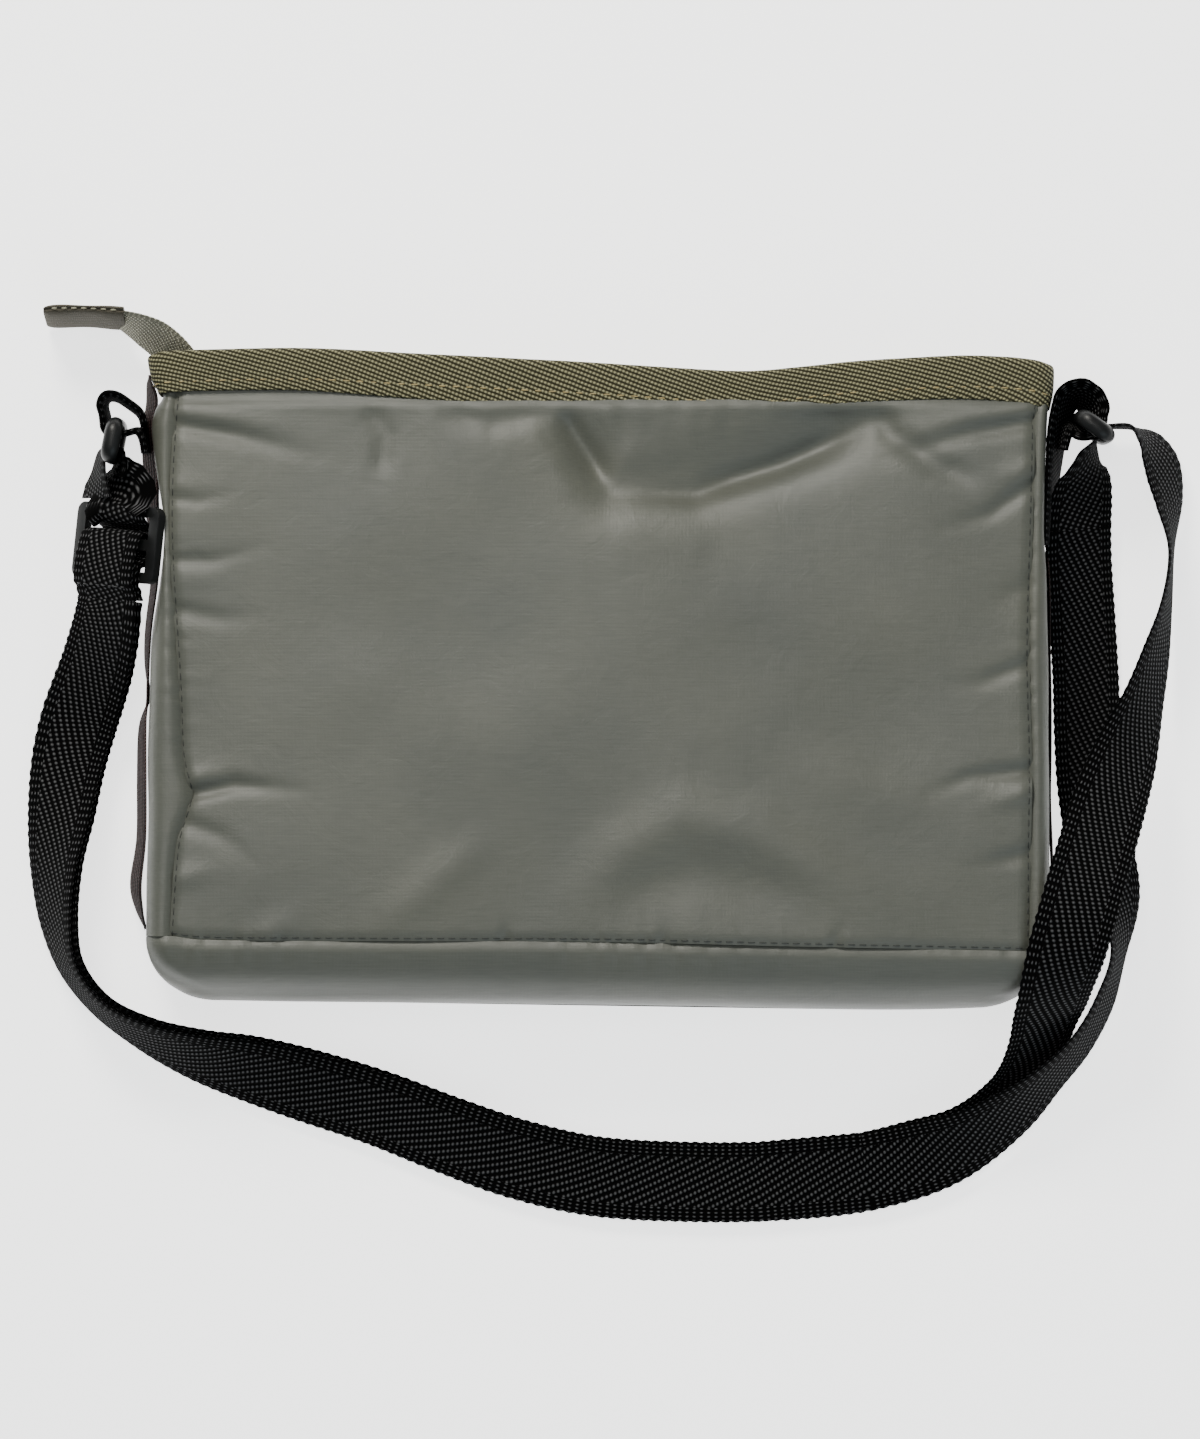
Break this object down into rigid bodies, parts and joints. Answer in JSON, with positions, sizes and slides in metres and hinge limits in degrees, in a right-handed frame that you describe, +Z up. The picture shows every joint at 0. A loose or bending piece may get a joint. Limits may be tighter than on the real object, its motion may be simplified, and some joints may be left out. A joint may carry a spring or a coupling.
{
  "type": "crossbody purse",
  "caption": "Flat rectangular nylon crossbody purse with a webbing-bound zip top, side rings and an adjustable webbing strap.",
  "frame": {"origin": "centre of the front panel's flat outer face, which lies on the surface", "axes": "+X along the mouth towards the bag's right side as it lies, +Y from the base towards the mouth, +Z up through the back panel"},
  "size_m": [0.3547, 0.2805, 0.0499],
  "materials": {
    "nylon": "soft satin nylon",
    "rim_webbing": "matte twill webbing",
    "tab_nylon": "matte coated nylon",
    "zip_tape": "matte herringbone tape",
    "zip_coil": "matte nylon coil",
    "zip_metal": "dark enamel",
    "strap_webbing": "matte black herringbone webbing",
    "side_tape": "matte ribbed tape",
    "black_plastic": "satin moulded plastic"
  },
  "bodies": {
    "bag": {"back_panel": "nylon", "front_panel": "nylon", "side_gusset_left": "nylon", "side_gusset_right": "nylon", "bottom_panel": "nylon", "rim_binding": "rim_webbing", "zip_tape_back": "zip_tape", "zip_tape_front": "zip_tape", "zip_coil_back": "zip_coil", "zip_coil_front": "zip_coil", "zip_tail_tape": "zip_tape", "zip_end_tab": "tab_nylon", "side_tape_left": "side_tape", "side_tape_right": "side_tape", "side_tab_left": "strap_webbing", "side_tab_right": "strap_webbing", "slide_buckle": "black_plastic", "strap_through_slide": "strap_webbing", "strap_sewn_end": "strap_webbing", "strap_lower_run": "strap_webbing", "strap_upper_run": "strap_webbing"},
    "zip_slider": {"zip_slider": "zip_metal"},
    "zip_pull": {"zip_pull": "zip_metal"},
    "ring_left": {"ring_left": "black_plastic", "strap_end_left": "strap_webbing"},
    "ring_right": {"ring_right": "black_plastic", "strap_turn_right": "strap_webbing"}
  },
  "joints": [
    {"name": "zip_slide", "type": "slide", "parent": "bag", "child": "zip_slider", "axis": [-1, 0, 0], "range_m": [0, 0.222]},
    {"name": "zip_pull_swing", "type": "hinge", "parent": "zip_slider", "child": "zip_pull", "pos_m": [0.118, 0.0962, 0.014], "axis": [0, 0, -1], "range_deg": [0, 110]},
    {"name": "ring_left_swing", "type": "hinge", "parent": "bag", "child": "ring_left", "pos_m": [-0.1486, 0.0788, 0.0175], "axis": [0, 0, -1], "range_deg": [-15, 35]},
    {"name": "ring_right_swing", "type": "hinge", "parent": "bag", "child": "ring_right", "pos_m": [0.1467, 0.0809, 0.0175], "axis": [0, 0, 1], "range_deg": [-10, 35]}
  ]
}
